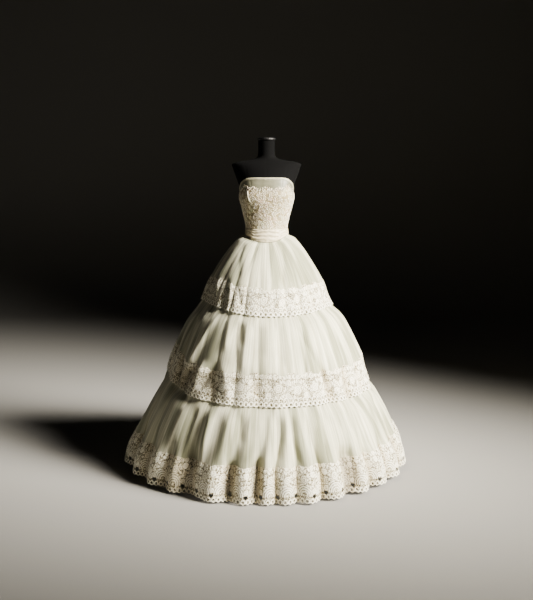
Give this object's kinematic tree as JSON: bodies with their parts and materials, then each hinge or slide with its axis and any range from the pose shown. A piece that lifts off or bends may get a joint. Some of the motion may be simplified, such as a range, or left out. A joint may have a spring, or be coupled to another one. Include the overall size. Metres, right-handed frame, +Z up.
{
  "type": "wedding dress on a dress form",
  "caption": "Strapless ball gown with a beaded lace bodice, draped waistband and tiered net skirt with lace flounces, on a limbless dress form.",
  "frame": {"origin": "middle of the round base's underside", "axes": "+Z up along the pole, -Y towards the dress's front, +X towards the wearer's left"},
  "size_m": [1.3789, 1.3787, 1.5723],
  "materials": {
    "ivory_satin": "soft sheen ivory satin",
    "beaded_lace": "ivory lace with small beads",
    "flounce_lace": "matt ivory lace",
    "skirt_net": "layered ivory net",
    "covered_buttons": "satin covered",
    "form_cover": "black jersey cover",
    "painted_stand": "black satin paint",
    "pole_steel": "brushed dark steel"
  },
  "bodies": {
    "root": {"bodice_front_centre": "ivory_satin", "bodice_side_front_left": "ivory_satin", "bodice_side_front_right": "ivory_satin", "bodice_back_left": "ivory_satin", "bodice_back_right": "ivory_satin", "neckline_binding": "ivory_satin", "waistband": "ivory_satin", "back_placket": "ivory_satin", "bodice_lace_front": "beaded_lace", "bodice_lace_back_left": "beaded_lace", "bodice_lace_back_right": "beaded_lace", "first_tier_lace_front": "flounce_lace", "first_tier_lace_back": "flounce_lace", "second_tier_lace_front": "flounce_lace", "second_tier_lace_back": "flounce_lace", "third_tier_lace_front": "flounce_lace", "third_tier_lace_back": "flounce_lace", "first_tier_net_front": "skirt_net", "first_tier_net_back": "skirt_net", "second_tier_net_front": "skirt_net", "second_tier_net_back": "skirt_net", "third_tier_net_front": "skirt_net", "third_tier_net_back": "skirt_net", "back_button_1": "covered_buttons", "back_button_2": "covered_buttons", "back_button_3": "covered_buttons", "back_button_4": "covered_buttons", "back_button_5": "covered_buttons", "back_button_6": "covered_buttons", "back_button_7": "covered_buttons", "back_button_8": "covered_buttons", "form_torso": "form_cover", "form_base": "painted_stand", "form_collar": "painted_stand", "form_neck_cap": "painted_stand", "form_pole": "pole_steel"}
  },
  "joints": []
}
